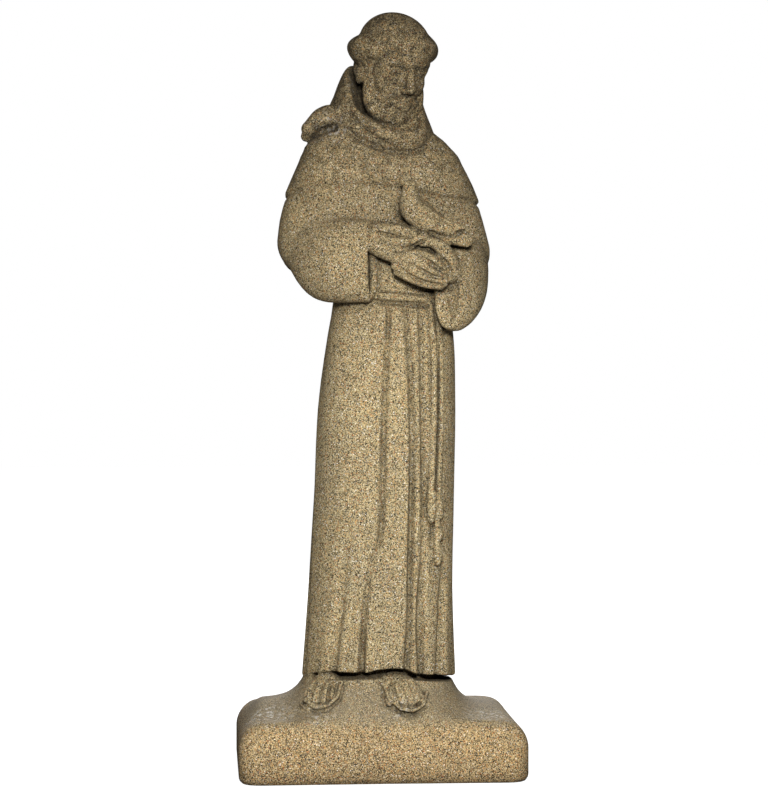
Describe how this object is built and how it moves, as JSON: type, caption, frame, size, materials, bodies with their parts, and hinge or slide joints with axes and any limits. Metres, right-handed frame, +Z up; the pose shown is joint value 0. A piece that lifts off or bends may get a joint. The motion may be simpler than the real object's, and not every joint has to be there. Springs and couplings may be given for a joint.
{
  "type": "saint francis statue",
  "caption": "Standing robed friar with a dove in cupped hands and a bird on one shoulder, cast with its rectangular plinth; a free-standing garden statue",
  "frame": {"origin": "centre of the plinth's flat underside", "axes": "+Z up, the figure faces -Y, +X is to the viewer's right seen from the front"},
  "size_m": [0.34, 0.25, 0.9081],
  "materials": {
    "cast_stone": "granular sand-coloured cast stone, matt, with black, white and rust grains"
  },
  "bodies": {
    "root": {"statue": "cast_stone"}
  },
  "joints": []
}
